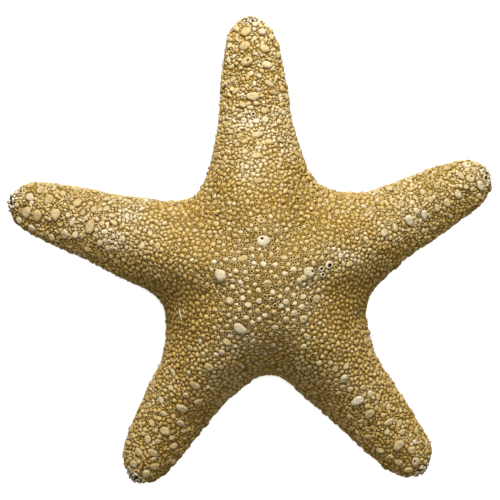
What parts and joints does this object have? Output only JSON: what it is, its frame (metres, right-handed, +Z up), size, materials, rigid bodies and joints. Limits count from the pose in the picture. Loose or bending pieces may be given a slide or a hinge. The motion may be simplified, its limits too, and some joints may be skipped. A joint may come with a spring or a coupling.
{
  "type": "dried starfish",
  "caption": "Dried five-armed sea star with a domed, granule-covered back and tapering blunt arms, lying flat on its mouth side.",
  "frame": {"origin": "middle of the star's outer box, on the surface it lies on", "axes": "+Z up out of the back, +Y along the arm that points to the top of the picture, +X to the picture's right"},
  "size_m": [0.1795, 0.1736, 0.0366],
  "materials": {
    "dried_skin": "matt, granular, dry"
  },
  "bodies": {
    "root": {"starfish": "dried_skin"}
  },
  "joints": []
}
